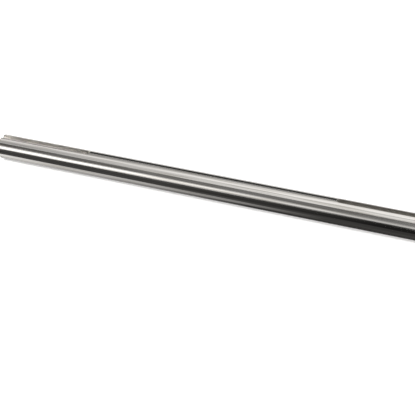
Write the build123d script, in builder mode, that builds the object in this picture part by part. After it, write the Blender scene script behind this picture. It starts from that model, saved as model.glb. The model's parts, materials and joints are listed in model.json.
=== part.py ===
from build123d import *
import os

# Round shaft keyed from both ends, standing on its lower end with its keyways facing -Y.
# The origin is on the floor, at the middle of the lower end.

# Bar stock: 1/2 inch round steel, cut 9 inches long
shaft_diameter = 12.7
shaft_length = 228.6
end_chamfer = 0.8

# Keyways: one from each end, for a 1/8 inch square key, each 2 inches long
keyway_width = 3.175
keyway_length = 50.8
keyway_depth = 1.786

# The end mill starts off the shaft's end, so that the keyway is open there,
# and it is cleared to the same distance outside the ground surface
cutter_clearance = keyway_width
keyway_cut_length = keyway_length + cutter_clearance
keyway_cut_centre = keyway_length - keyway_cut_length / 2
keyway_floor_distance = shaft_diameter / 2 - keyway_depth

with BuildPart() as shaft:
    # Ground bar, faced square and chamfered at both ends
    with BuildSketch(Plane.XY) as bar_section:
        Circle(shaft_diameter / 2)
    extrude(amount=shaft_length)
    chamfer(shaft.edges().filter_by(GeomType.CIRCLE), end_chamfer)

    # Keyways, milled in line, each with the end mill's round at its inner end
    with BuildSketch(Plane.XZ.offset(keyway_floor_distance)) as keyway_outlines:
        with Locations((0, keyway_cut_centre), (0, shaft_length - keyway_cut_centre)):
            SlotOverall(keyway_cut_length, keyway_width, rotation=90)
    extrude(amount=keyway_depth + cutter_clearance, mode=Mode.SUBTRACT)

os.makedirs("parts", exist_ok=True)
shaft.part.label = "shaft"
export_step(shaft.part, "parts/shaft.step")
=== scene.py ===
import json
from math import cos, pi, radians, sin, sqrt

import bmesh
import bpy
from mathutils import Matrix, Vector


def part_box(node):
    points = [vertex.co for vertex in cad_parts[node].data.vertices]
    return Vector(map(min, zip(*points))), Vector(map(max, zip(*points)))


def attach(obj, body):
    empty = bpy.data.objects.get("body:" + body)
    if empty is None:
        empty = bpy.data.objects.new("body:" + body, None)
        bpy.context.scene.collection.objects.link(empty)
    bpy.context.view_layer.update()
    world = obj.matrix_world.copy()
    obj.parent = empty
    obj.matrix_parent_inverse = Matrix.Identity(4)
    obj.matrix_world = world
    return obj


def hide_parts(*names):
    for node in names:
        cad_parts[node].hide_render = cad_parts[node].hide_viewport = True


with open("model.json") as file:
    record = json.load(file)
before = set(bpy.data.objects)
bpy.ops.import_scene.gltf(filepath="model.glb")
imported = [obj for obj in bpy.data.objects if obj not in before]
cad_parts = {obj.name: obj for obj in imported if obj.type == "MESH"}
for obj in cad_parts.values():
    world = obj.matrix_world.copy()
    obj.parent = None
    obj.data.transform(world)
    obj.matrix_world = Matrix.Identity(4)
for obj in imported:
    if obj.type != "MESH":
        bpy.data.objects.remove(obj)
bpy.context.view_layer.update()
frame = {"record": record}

# Bar: one length of bright low-carbon steel bar, centreless ground to its diameter. Its ends are faced
# and chamfered in a lathe, and the corners of the faces and chamfers are just broken.
MM = 0.001
BAR_STEPS = 360
BROKEN_CORNER = 0.08 * MM
CORNER_STEPS = 3
LONG_SIDE_SLOPE = 0.1
mounts = {mount["name"]: mount for mount in frame["record"]["mounts"]}
shaft_low, shaft_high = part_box("shaft")
length = shaft_high.z - shaft_low.z
radius = mounts["upper_end"]["dims"]["r_mm"] * MM
chamfer = length - mounts["upper_end"]["pos_m"][2]


def linear_colour(hex_colour):
    """An sRGB hex colour as linear RGBA."""
    channels = [int(hex_colour[i:i + 2], 16) / 255 for i in (1, 3, 5)]
    return [c / 12.92 if c <= 0.04045 else ((c + 0.055) / 1.055) ** 2.4 for c in channels] + [1]


def add_node(tree, kind, inputs=None, **settings):
    """One node with its settings, and its inputs as values or as the sockets that feed them."""
    node = tree.nodes.new("ShaderNode" + kind)
    for name, value in settings.items():
        setattr(node, name, value)
    for name, value in (inputs or {}).items():
        if isinstance(value, bpy.types.NodeSocket):
            tree.links.new(value, node.inputs[name])
        else:
            node.inputs[name].default_value = value
    return node


def new_material(name):
    """An empty node material, with its tree and its output."""
    material = bpy.data.materials.new(name)
    material.use_nodes = True
    tree = material.node_tree
    tree.nodes.clear()
    return material, tree, add_node(tree, "OutputMaterial")


def metal_surface(tree, output, colour, roughness, relief, relief_depth):
    """Bare metal with rings or tool marks as its relief, joined to the material's output."""
    bump = add_node(tree, "Bump", {"Height": relief, "Distance": relief_depth})
    shader = add_node(tree, "BsdfPrincipled", {
        "Base Color": colour, "Metallic": 1.0, "Roughness": roughness, "Normal": bump.outputs["Normal"]})
    tree.links.new(shader.outputs["BSDF"], output.inputs["Surface"])


# Ground steel: bright low-carbon steel as the grinding wheel leaves it, a near mirror that fine rings
# blur along the bar, with faint dull marks from handling and darker streaks of a wiped film of oil. The
# rings are drawn coarser than real ones, so that they show.
GROUND_STEEL = "#CFCCC8"
OILED_STEEL = "#B5B1AA"
GROUND_ROUGHNESS = 0.08
MARKED_ROUGHNESS = 0.15
GRINDING_RING = 0.35 * MM
GRINDING_RING_SPAN = 16 * MM
GRINDING_RING_DETAIL = 3.0
GRINDING_RELIEF = 0.004 * MM
HANDLING_MARK_WIDTH = 0.25 * MM
HANDLING_MARK_LENGTH = 40 * MM
HANDLING_MARK_DETAIL = 2.0
HANDLING_MARK_FAINT = 0.45
HANDLING_MARK_FULL = 0.75
OIL_STREAK_WIDTH = 0.5 * MM
OIL_STREAK_LENGTH = 30 * MM
OIL_STREAK_DETAIL = 4.0
OIL_STREAK_FAINT = 0.45
OIL_STREAK_FULL = 0.7


def grain(tree, across, along, detail):
    """Noise whose grain has one size across the bar and another along it."""
    place = add_node(tree, "TexCoord").outputs["Object"]
    scaled = add_node(tree, "Mapping", {
        "Vector": place, "Scale": (1 / across, 1 / across, 1 / along)})
    noise = add_node(tree, "TexNoise", {
        "Vector": scaled.outputs["Vector"], "Scale": 1.0, "Detail": detail})
    return noise.outputs["Fac"]


def ground_steel():
    material, tree, output = new_material("ground_steel")
    rings = grain(tree, GRINDING_RING_SPAN, GRINDING_RING, GRINDING_RING_DETAIL)
    marks = grain(tree, HANDLING_MARK_WIDTH, HANDLING_MARK_LENGTH, HANDLING_MARK_DETAIL)
    roughness = add_node(tree, "MapRange", {
        "Value": marks, "From Min": HANDLING_MARK_FAINT, "From Max": HANDLING_MARK_FULL,
        "To Min": GROUND_ROUGHNESS, "To Max": MARKED_ROUGHNESS})
    streaks = grain(tree, OIL_STREAK_WIDTH, OIL_STREAK_LENGTH, OIL_STREAK_DETAIL)
    film = add_node(tree, "MapRange", {
        "Value": streaks, "From Min": OIL_STREAK_FAINT, "From Max": OIL_STREAK_FULL})
    colour = add_node(tree, "Mix", {
        "Factor": film.outputs["Result"],
        "A": linear_colour(GROUND_STEEL), "B": linear_colour(OILED_STEEL)}, data_type="RGBA")
    metal_surface(tree, output, colour.outputs["Result"], roughness.outputs["Result"],
                  rings, GRINDING_RELIEF)
    return material


# Turned steel: the steel as the lathe tool leaves it on the end faces and chamfers. Fine rings from its
# feed run round their middle, and look greyer and duller than the ground surface.
TURNED_STEEL = "#BFBCB7"
TURNED_ROUGHNESS = 0.24
TURNING_FEED = 0.12 * MM
TURNING_RELIEF = 0.006 * MM
TOOL_MARK_DETAIL = 2.0


def tool_marks(tree, travel, feed):
    """Ridges that a cutting tool leaves each time it has travelled on by its feed."""
    turns = add_node(tree, "Math", {0: travel, 1: feed}, operation="DIVIDE")
    marks = add_node(tree, "TexNoise", {
        "W": turns.outputs["Value"], "Scale": 1.0, "Detail": TOOL_MARK_DETAIL}, noise_dimensions="1D")
    return marks.outputs["Fac"]


def turned_steel():
    material, tree, output = new_material("turned_steel")
    place = add_node(tree, "TexCoord").outputs["Object"]
    across = add_node(tree, "VectorMath", {0: place, 1: (1, 1, 0)}, operation="MULTIPLY")
    from_middle = add_node(tree, "VectorMath", {0: across.outputs["Vector"]}, operation="LENGTH")
    rings = tool_marks(tree, from_middle.outputs["Value"], TURNING_FEED)
    metal_surface(tree, output, linear_colour(TURNED_STEEL), TURNED_ROUGHNESS, rings, TURNING_RELIEF)
    return material


def bar_mesh():
    """The bar's half section turned round its axis. All but its long side is turned steel."""
    bm = bmesh.new()
    outline = [(radius - chamfer, 0), (radius, chamfer),
               (radius, length - chamfer), (radius - chamfer, length)]
    corners = [bm.verts.new((x, 0, z)) for x, z in outline]
    sides = [bm.edges.new(pair) for pair in zip(corners, corners[1:])]
    bmesh.ops.spin(bm, geom=corners + sides, cent=(0, 0, 0), axis=(0, 0, 1), angle=2 * pi,
                   steps=BAR_STEPS, use_merge=True)
    bmesh.ops.holes_fill(bm, edges=bm.edges, sides=0)
    rims = [e for e in bm.edges if abs(e.verts[0].co.z - e.verts[1].co.z) < BROKEN_CORNER]
    bmesh.ops.bevel(bm, geom=rims, offset=BROKEN_CORNER, affect="EDGES", segments=CORNER_STEPS,
                    profile=0.5, material=-1)
    bmesh.ops.recalc_face_normals(bm, faces=bm.faces)
    for face in bm.faces:
        face.material_index = int(abs(face.normal.z) > LONG_SIDE_SLOPE)
    mesh = bpy.data.meshes.new("bar")
    bm.to_mesh(mesh)
    bm.free()
    return mesh


bar = bpy.data.objects.new("keyed_shaft", bar_mesh())
bpy.context.collection.objects.link(bar)
bar.data.materials.append(ground_steel())
bar.data.materials.append(turned_steel())

# Keyways: slots for a 1/8 inch square key, cut in the bar by an end mill that enters at the shaft's end
# and stops inside it, so each is open at the end and round inside. Their lips are deburred.
KEYWAY_WIDTH = 3.175 * MM
KEYWAY_LENGTH = 50.8 * MM
CUTTER_CLEARANCE = KEYWAY_WIDTH
CUTTER_STEPS = 48
DEBURR_DEPTH = 0.1 * MM
DEBURR_REACH = 0.6 * MM
SHARP_ANGLE = radians(40)
keyway_floor = -mounts["upper_keyway"]["pos_m"][1]

# Milled steel: the steel as the end mill leaves it. Its feed leaves arcs on the floor and upright lines
# on the walls, which look matt and greyer from afar. They are drawn coarser and deeper than real ones,
# so that they show.
MILLED_STEEL = "#B4B1AC"
MILLED_ROUGHNESS = 0.34
MILLING_FEED = 0.22 * MM
MILLING_RELIEF = 0.050 * MM


def milled_steel():
    """Marks as far apart as the mill's feed, each an arc of the mill's own radius."""
    material, tree, output = new_material("milled_steel")
    place = add_node(tree, "TexCoord").outputs["Object"]
    axes = add_node(tree, "SeparateXYZ", {"Vector": place}).outputs
    from_middle = add_node(tree, "Math", {0: axes["Z"], 1: length / 2}, operation="SUBTRACT")
    inward = add_node(tree, "Math", {0: from_middle.outputs["Value"]}, operation="ABSOLUTE")
    squared = add_node(tree, "Math", {0: axes["X"], 1: 2.0}, operation="POWER")
    rest = add_node(tree, "Math", {
        0: (KEYWAY_WIDTH / 2) ** 2, 1: squared.outputs["Value"]}, operation="SUBTRACT")
    reach = add_node(tree, "Math", {0: rest.outputs["Value"]}, operation="SQRT")
    travel = add_node(tree, "Math", {
        0: inward.outputs["Value"], 1: reach.outputs["Value"]}, operation="ADD")
    arcs = tool_marks(tree, travel.outputs["Value"], MILLING_FEED)
    metal_surface(tree, output, linear_colour(MILLED_STEEL), MILLED_ROUGHNESS, arcs, MILLING_RELIEF)
    return material


def cutter_mesh(name, end_height, inward):
    """The space that the end mill clears: a slot up to the ground surface, then the deburring flare."""
    mill_radius = KEYWAY_WIDTH / 2
    centre = Vector((0, -keyway_floor, end_height + inward * (KEYWAY_LENGTH - mill_radius)))
    bm = bmesh.new()
    start = bm.verts.new(centre + Vector((mill_radius, 0, 0)))
    turned = bmesh.ops.spin(bm, geom=[start], cent=centre, axis=(0, -inward, 0), angle=pi,
                            steps=CUTTER_STEPS)
    finish = next(item for item in turned["geom_last"] if isinstance(item, bmesh.types.BMVert))
    open_end = bmesh.ops.extrude_vert_indiv(bm, verts=[start, finish])["verts"]
    for vert in open_end:
        vert.co.z = end_height - inward * CUTTER_CLEARANCE
    bm.edges.new(open_end)
    bmesh.ops.contextual_create(bm, geom=bm.edges[:])
    lifted = bmesh.ops.extrude_face_region(bm, geom=bm.faces[:])["geom"]
    for vert in (item for item in lifted if isinstance(item, bmesh.types.BMVert)):
        vert.co.y = DEBURR_DEPTH - sqrt(radius ** 2 - vert.co.x ** 2)
    top = [item for item in lifted if isinstance(item, bmesh.types.BMFace)]
    flared = bmesh.ops.extrude_face_region(bm, geom=top)["geom"]
    for vert in (item for item in flared if isinstance(item, bmesh.types.BMVert)):
        on_round = (vert.co.z - centre.z) * inward > 0
        outward = Vector((vert.co.x, 0, (vert.co.z - centre.z) * on_round)).normalized()
        vert.co += outward * DEBURR_REACH + Vector((0, -DEBURR_REACH, 0))
    bmesh.ops.delete(bm, geom=top, context="FACES_ONLY")
    bmesh.ops.recalc_face_normals(bm, faces=bm.faces)
    mesh = bpy.data.meshes.new(name)
    bm.to_mesh(mesh)
    bm.free()
    return mesh


milled = milled_steel()
cutters = []
for name, end_height, inward in (("lower_cutter", 0, 1), ("upper_cutter", length, -1)):
    cutter = bpy.data.objects.new(name, cutter_mesh(name, end_height, inward))
    cutter.data.materials.append(milled)
    bpy.context.collection.objects.link(cutter)
    cutters.append(cutter)
    cut = bar.modifiers.new(name, "BOOLEAN")
    cut.operation = "DIFFERENCE"
    cut.solver = "EXACT"
    cut.material_mode = "TRANSFER"
    cut.object = cutter

cut_mesh = bpy.data.meshes.new_from_object(bar.evaluated_get(bpy.context.evaluated_depsgraph_get()))
bar.modifiers.clear()
bar.data = cut_mesh
for cutter in cutters:
    bpy.data.objects.remove(cutter)
cut_mesh.shade_smooth()
cut_mesh.set_sharp_from_angle(angle=SHARP_ANGLE)
even_shade = bar.modifiers.new("even_shade", "WEIGHTED_NORMAL")
even_shade.keep_sharp = True
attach(bar, "root")
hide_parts("shaft")

# Stage: a white floor, and a white board that the shaft stands against. The camera is rolled, so that
# the board is the ground that the shaft lies on in the picture. The metal mirrors the mats in front of
# the board in place of it, and the mats paint the board's reflection, with its shade.
STAGE_REACH = 30.0
STAGE_WHITE = "#E6E6E6"
STAGE_LIFT = 0.35


def in_sight(tree):
    """1 on what the camera sees straight, mirrored or through glass, and 0 on what only casts light."""
    ray = add_node(tree, "LightPath").outputs
    seen = add_node(tree, "Math", {
        0: ray["Is Camera Ray"], 1: ray["Is Glossy Ray"]}, operation="MAXIMUM")
    shown = add_node(tree, "Math", {
        0: seen.outputs["Value"], 1: ray["Is Transmission Ray"]}, operation="MAXIMUM")
    return shown.outputs["Value"]


def stage_white():
    """Pale paper, lifted to white where it is in sight, and clear from behind."""
    material, tree, output = new_material("stage_white")
    paper = add_node(tree, "BsdfDiffuse", {"Color": linear_colour(STAGE_WHITE)})
    lift = add_node(tree, "Math", {0: in_sight(tree), 1: STAGE_LIFT}, operation="MULTIPLY")
    glow = add_node(tree, "Emission", {"Strength": lift.outputs["Value"]})
    lit = add_node(tree, "AddShader", {0: paper.outputs["BSDF"], 1: glow.outputs["Emission"]})
    clear = add_node(tree, "BsdfTransparent")
    back = add_node(tree, "NewGeometry").outputs["Backfacing"]
    sided = add_node(tree, "MixShader", {0: back, 1: lit.outputs["Shader"], 2: clear.outputs["BSDF"]})
    tree.links.new(sided.outputs["Shader"], output.inputs["Surface"])
    return material


def level(first, last, height):
    """The corners of a level sheet, from two opposite corners in plan."""
    return [(*first, height), (last[0], first[1], height), (*last, height), (first[0], last[1], height)]


def upright(first, last, bottom, top):
    """The corners of an upright sheet, from its two edges' places in plan."""
    return [(*first, bottom), (*last, bottom), (*last, top), (*first, top)]


def stage_sheet(name, corners, material):
    """A flat sheet of the stage, from its corners in order."""
    bm = bmesh.new()
    bm.faces.new([bm.verts.new(corner) for corner in corners])
    mesh = bpy.data.meshes.new(name)
    bm.to_mesh(mesh)
    bm.free()
    sheet = bpy.data.objects.new(name, mesh)
    mesh.materials.append(material)
    bpy.context.collection.objects.link(sheet)
    return sheet


white = stage_white()
stage_sheet("floor", level((-STAGE_REACH, -STAGE_REACH), (STAGE_REACH, STAGE_REACH), 0), white)
board_corners = upright((-STAGE_REACH, radius), (STAGE_REACH, radius), 0, STAGE_REACH)
board = stage_sheet("board", board_corners, white)
board.visible_shadow = False
board.visible_diffuse = False
board.visible_glossy = False

# Panels: the softboxes, grey cards and lights that stand round the shaft, the mats on the board, which
# paint its reflection, and a card overhead. Only the metal sees them, as the bright and dark bands along
# it.
PANEL_TOP = 1.0
TUNNEL_RADIUS = 0.45
REAR_RADIUS = 0.12
MAT_LIFT = 0.5 * MM
FAR_MAT_EDGES = (-11, -300)
FAR_MAT_GLOW = 0.95
END_LIGHT_ANGLES = (40, 73)
END_LIGHT_BOTTOM = 0.61
END_LIGHT_TOP = 0.79
END_LIGHT_GLOW = 64
OVERHEAD_REACH = 0.4
OVERHEAD_GLOW = 0.1

# Panels in a tunnel round the shaft: name, the two angles that each spans, in degrees from straight out
# of the board (0) towards the camera (90), its upper and lower glow, and the heights in metres above
# and below which it has them.
tunnel_panels = (
    ("back_card", (-77, -44.7), (0.05, 0.06), (0.40, 0.06)),
    ("back_softbox", (-43, -30), (0.36, 0.45), (0.40, 0.06)),
    ("main_softbox_edge", (-30, -14), (0.50, 1.22), (0.42, 0.06)),
    ("main_softbox", (-14, 1.5), (1.08, 1.45), (0.42, 0.06)),
    ("softbox_frame", (1.5, 10), (0.72, 0.83), (0.46, 0.28)),
    ("front_softbox", (10, 27.5), (0.56, 1.16), (0.45, 0.10)),
    ("grey_card", (30, 58.5), (0.15, 0.25), (0.46, 0.30)),
    ("strip_fade", (58.5, 67), (1.05, 0.5), (0.32, 0.05)),
    ("strip_light", (67, 79), (2.3, 0.74), (0.40, 0.06)),
    ("strip_edge", (79, 88), (1.4, 0.08), (0.40, 0.06)),
    ("front_card", (88, 90.8), (0.055, 0.02), (0.40, 0.06)),
)

# Panels behind the board: name, angles and glow.
rear_panels = (
    ("rear_card_1", (100, 118), 0.06),
    ("rear_card_2", (146, 168), 0.12),
    ("rear_card_3", (206, 222), 0.06),
    ("rear_card_4", (243, 262), 0.12),
)

# Mats: painted reflections of the board, which the metal sees in its place. They are dark bands further
# out, the lit board nearer the shaft and the painted contact shadow where the board meets it, all darker
# towards the shaft's lower end. Columns: name, the distances of the two edges from the shaft's axis
# towards the camera, in millimetres, and the glows and heights as for the tunnel.
mats = (
    ("outer_mat", (440, 28), (0.095, 0.02), (0.15, 0.03)),
    ("front_mat", (28, 16.5), (0.062, 0.014), (0.15, 0.03)),
    ("side_mat", (16.5, 10.2), (0.09, 0.05), (0.13, 0.0)),
    ("near_mat", (10.2, 6.6), (1.1, 0.08), (0.225, 0.055)),
    ("contact_shadow_mat", (6.6, 3.6), (0.80, 0.06), (0.225, 0.093)),
)


def even_glow(name, strength):
    material, tree, output = new_material(name)
    light = add_node(tree, "Emission", {"Strength": strength})
    tree.links.new(light.outputs["Emission"], output.inputs["Surface"])
    return material


def graded_glow(name, strengths, heights):
    """A glow that fades from its upper strength at the upper height to its lower one at the lower."""
    material, tree, output = new_material(name)
    place = add_node(tree, "TexCoord").outputs["Object"]
    height = add_node(tree, "SeparateXYZ", {"Vector": place}).outputs["Z"]
    strength = add_node(tree, "MapRange", {
        "Value": height, "From Min": heights[1], "From Max": heights[0],
        "To Min": strengths[1], "To Max": strengths[0]})
    light = add_node(tree, "Emission", {"Strength": strength.outputs["Result"]})
    tree.links.new(light.outputs["Emission"], output.inputs["Surface"])
    return material


def metal_only_panel(name, corners, material):
    """A sheet of the stage that shows only as a reflection in the metal."""
    panel = stage_sheet(name, corners, material)
    panel.visible_camera = False
    panel.visible_diffuse = False
    panel.visible_shadow = False


def in_plan(angle, distance):
    """A place in plan by its angle and distance from the shaft's axis."""
    return (-distance * sin(radians(angle)), -distance * cos(radians(angle)))


def round_shaft(angles, distance, bottom, top):
    """The corners of an upright panel that spans two angles round the shaft."""
    return upright(in_plan(angles[0], distance), in_plan(angles[1], distance), bottom, top)


def on_board(edges):
    """The corners of a mat just in front of the board, from the distances of its two edges."""
    lifted = radius - MAT_LIFT
    return upright((-edges[0] * MM, lifted), (-edges[1] * MM, lifted), 0, PANEL_TOP)


for name, angles, strengths, heights in tunnel_panels:
    corners = round_shaft(angles, TUNNEL_RADIUS, 0, PANEL_TOP)
    metal_only_panel(name, corners, graded_glow(name, strengths, heights))
for name, angles, strength in rear_panels:
    corners = round_shaft(angles, REAR_RADIUS, 0, PANEL_TOP)
    metal_only_panel(name, corners, even_glow(name, strength))
for name, edges, strengths, heights in mats:
    metal_only_panel(name, on_board(edges), graded_glow(name, strengths, heights))
# The far mat is a painted reflection of the lit board behind the shaft, evenly bright.
metal_only_panel("far_mat", on_board(FAR_MAT_EDGES), even_glow("far_mat", FAR_MAT_GLOW))
end_light_corners = round_shaft(END_LIGHT_ANGLES, TUNNEL_RADIUS, END_LIGHT_BOTTOM, END_LIGHT_TOP)
metal_only_panel("end_light", end_light_corners, even_glow("end_light", END_LIGHT_GLOW))
overhead_corners = level((-OVERHEAD_REACH, -OVERHEAD_REACH), (OVERHEAD_REACH, 0), PANEL_TOP)
metal_only_panel("overhead_card", overhead_corners, even_glow("overhead_card", OVERHEAD_GLOW))

# Light: an even room, which looks white but casts only a little light, and one large soft lamp in
# front of the board, on the camera's side and towards the shaft's upper end. The metal doesn't mirror
# the lamp.
ROOM_LIGHT = 0.2
ROOM_WHITE = 1.0
LAMP_ALONG = -0.35
LAMP_AWAY = -0.45
LAMP_OUT = 0.75
LAMP_STRENGTH = 3.3
LAMP_SPREAD = radians(35)
stage_turn = Matrix(((0, 1, 0), (0, 0, -1), (-1, 0, 0)))


def stage_place(along, away, out):
    """A place by its distance along the shaft from its middle towards its lower end, away from the
    camera, and out from the board."""
    return stage_turn @ Vector((along, away, out)) + Vector((0, radius, length / 2))


world = bpy.data.worlds.new("studio")
world.use_nodes = True
room = world.node_tree
room.nodes.clear()
room_strength = add_node(room, "MapRange", {
    "Value": in_sight(room), "To Min": ROOM_LIGHT, "To Max": ROOM_WHITE})
walls = add_node(room, "Background", {
    "Color": (1, 1, 1, 1), "Strength": room_strength.outputs["Result"]})
add_node(room, "OutputWorld", {"Surface": walls.outputs["Background"]})
world.cycles.sampling_method = "NONE"
bpy.context.scene.world = world

lamp_data = bpy.data.lights.new("soft_lamp", "SUN")
lamp_data.energy = LAMP_STRENGTH
lamp_data.angle = LAMP_SPREAD
lamp = bpy.data.objects.new("soft_lamp", lamp_data)
lamp.location = stage_place(LAMP_ALONG, LAMP_AWAY, LAMP_OUT)
lamp.rotation_euler = (stage_place(0, 0, 0) - lamp.location).to_track_quat("-Z", "Y").to_euler()
lamp.visible_glossy = False
lamp.visible_camera = False
bpy.context.collection.objects.link(lamp)

# Camera: beside the shaft's lower end and out in front of it, looking along it to its upper end, and
# down on the board at 34 degrees. The picture's width and the focal length are in pixels.
CAMERA_ALONG = 0.1014
CAMERA_AWAY = -0.3176
CAMERA_OUT = 0.2205
CAMERA_YAW = radians(17.72)
CAMERA_PITCH = radians(34.24)
CAMERA_ROLL = radians(1.29)
CAMERA_CLIP = 0.01
PICTURE_SIZE = 415
FOCAL_PIXELS = 803
camera_data = bpy.data.cameras.new("camera")
camera_data.lens = camera_data.sensor_width * FOCAL_PIXELS / PICTURE_SIZE
camera_data.clip_start = CAMERA_CLIP
camera = bpy.data.objects.new("camera", camera_data)
camera_place = stage_place(CAMERA_ALONG, CAMERA_AWAY, CAMERA_OUT)
camera_turn = (stage_turn @ Matrix.Rotation(CAMERA_YAW, 3, "Z")
               @ Matrix.Rotation(pi / 2 - CAMERA_PITCH, 3, "X") @ Matrix.Rotation(CAMERA_ROLL, 3, "Z"))
camera.matrix_world = Matrix.Translation(camera_place) @ camera_turn.to_4x4()
bpy.context.collection.objects.link(camera)
bpy.context.scene.camera = camera
bpy.context.scene.view_settings.view_transform = "Standard"
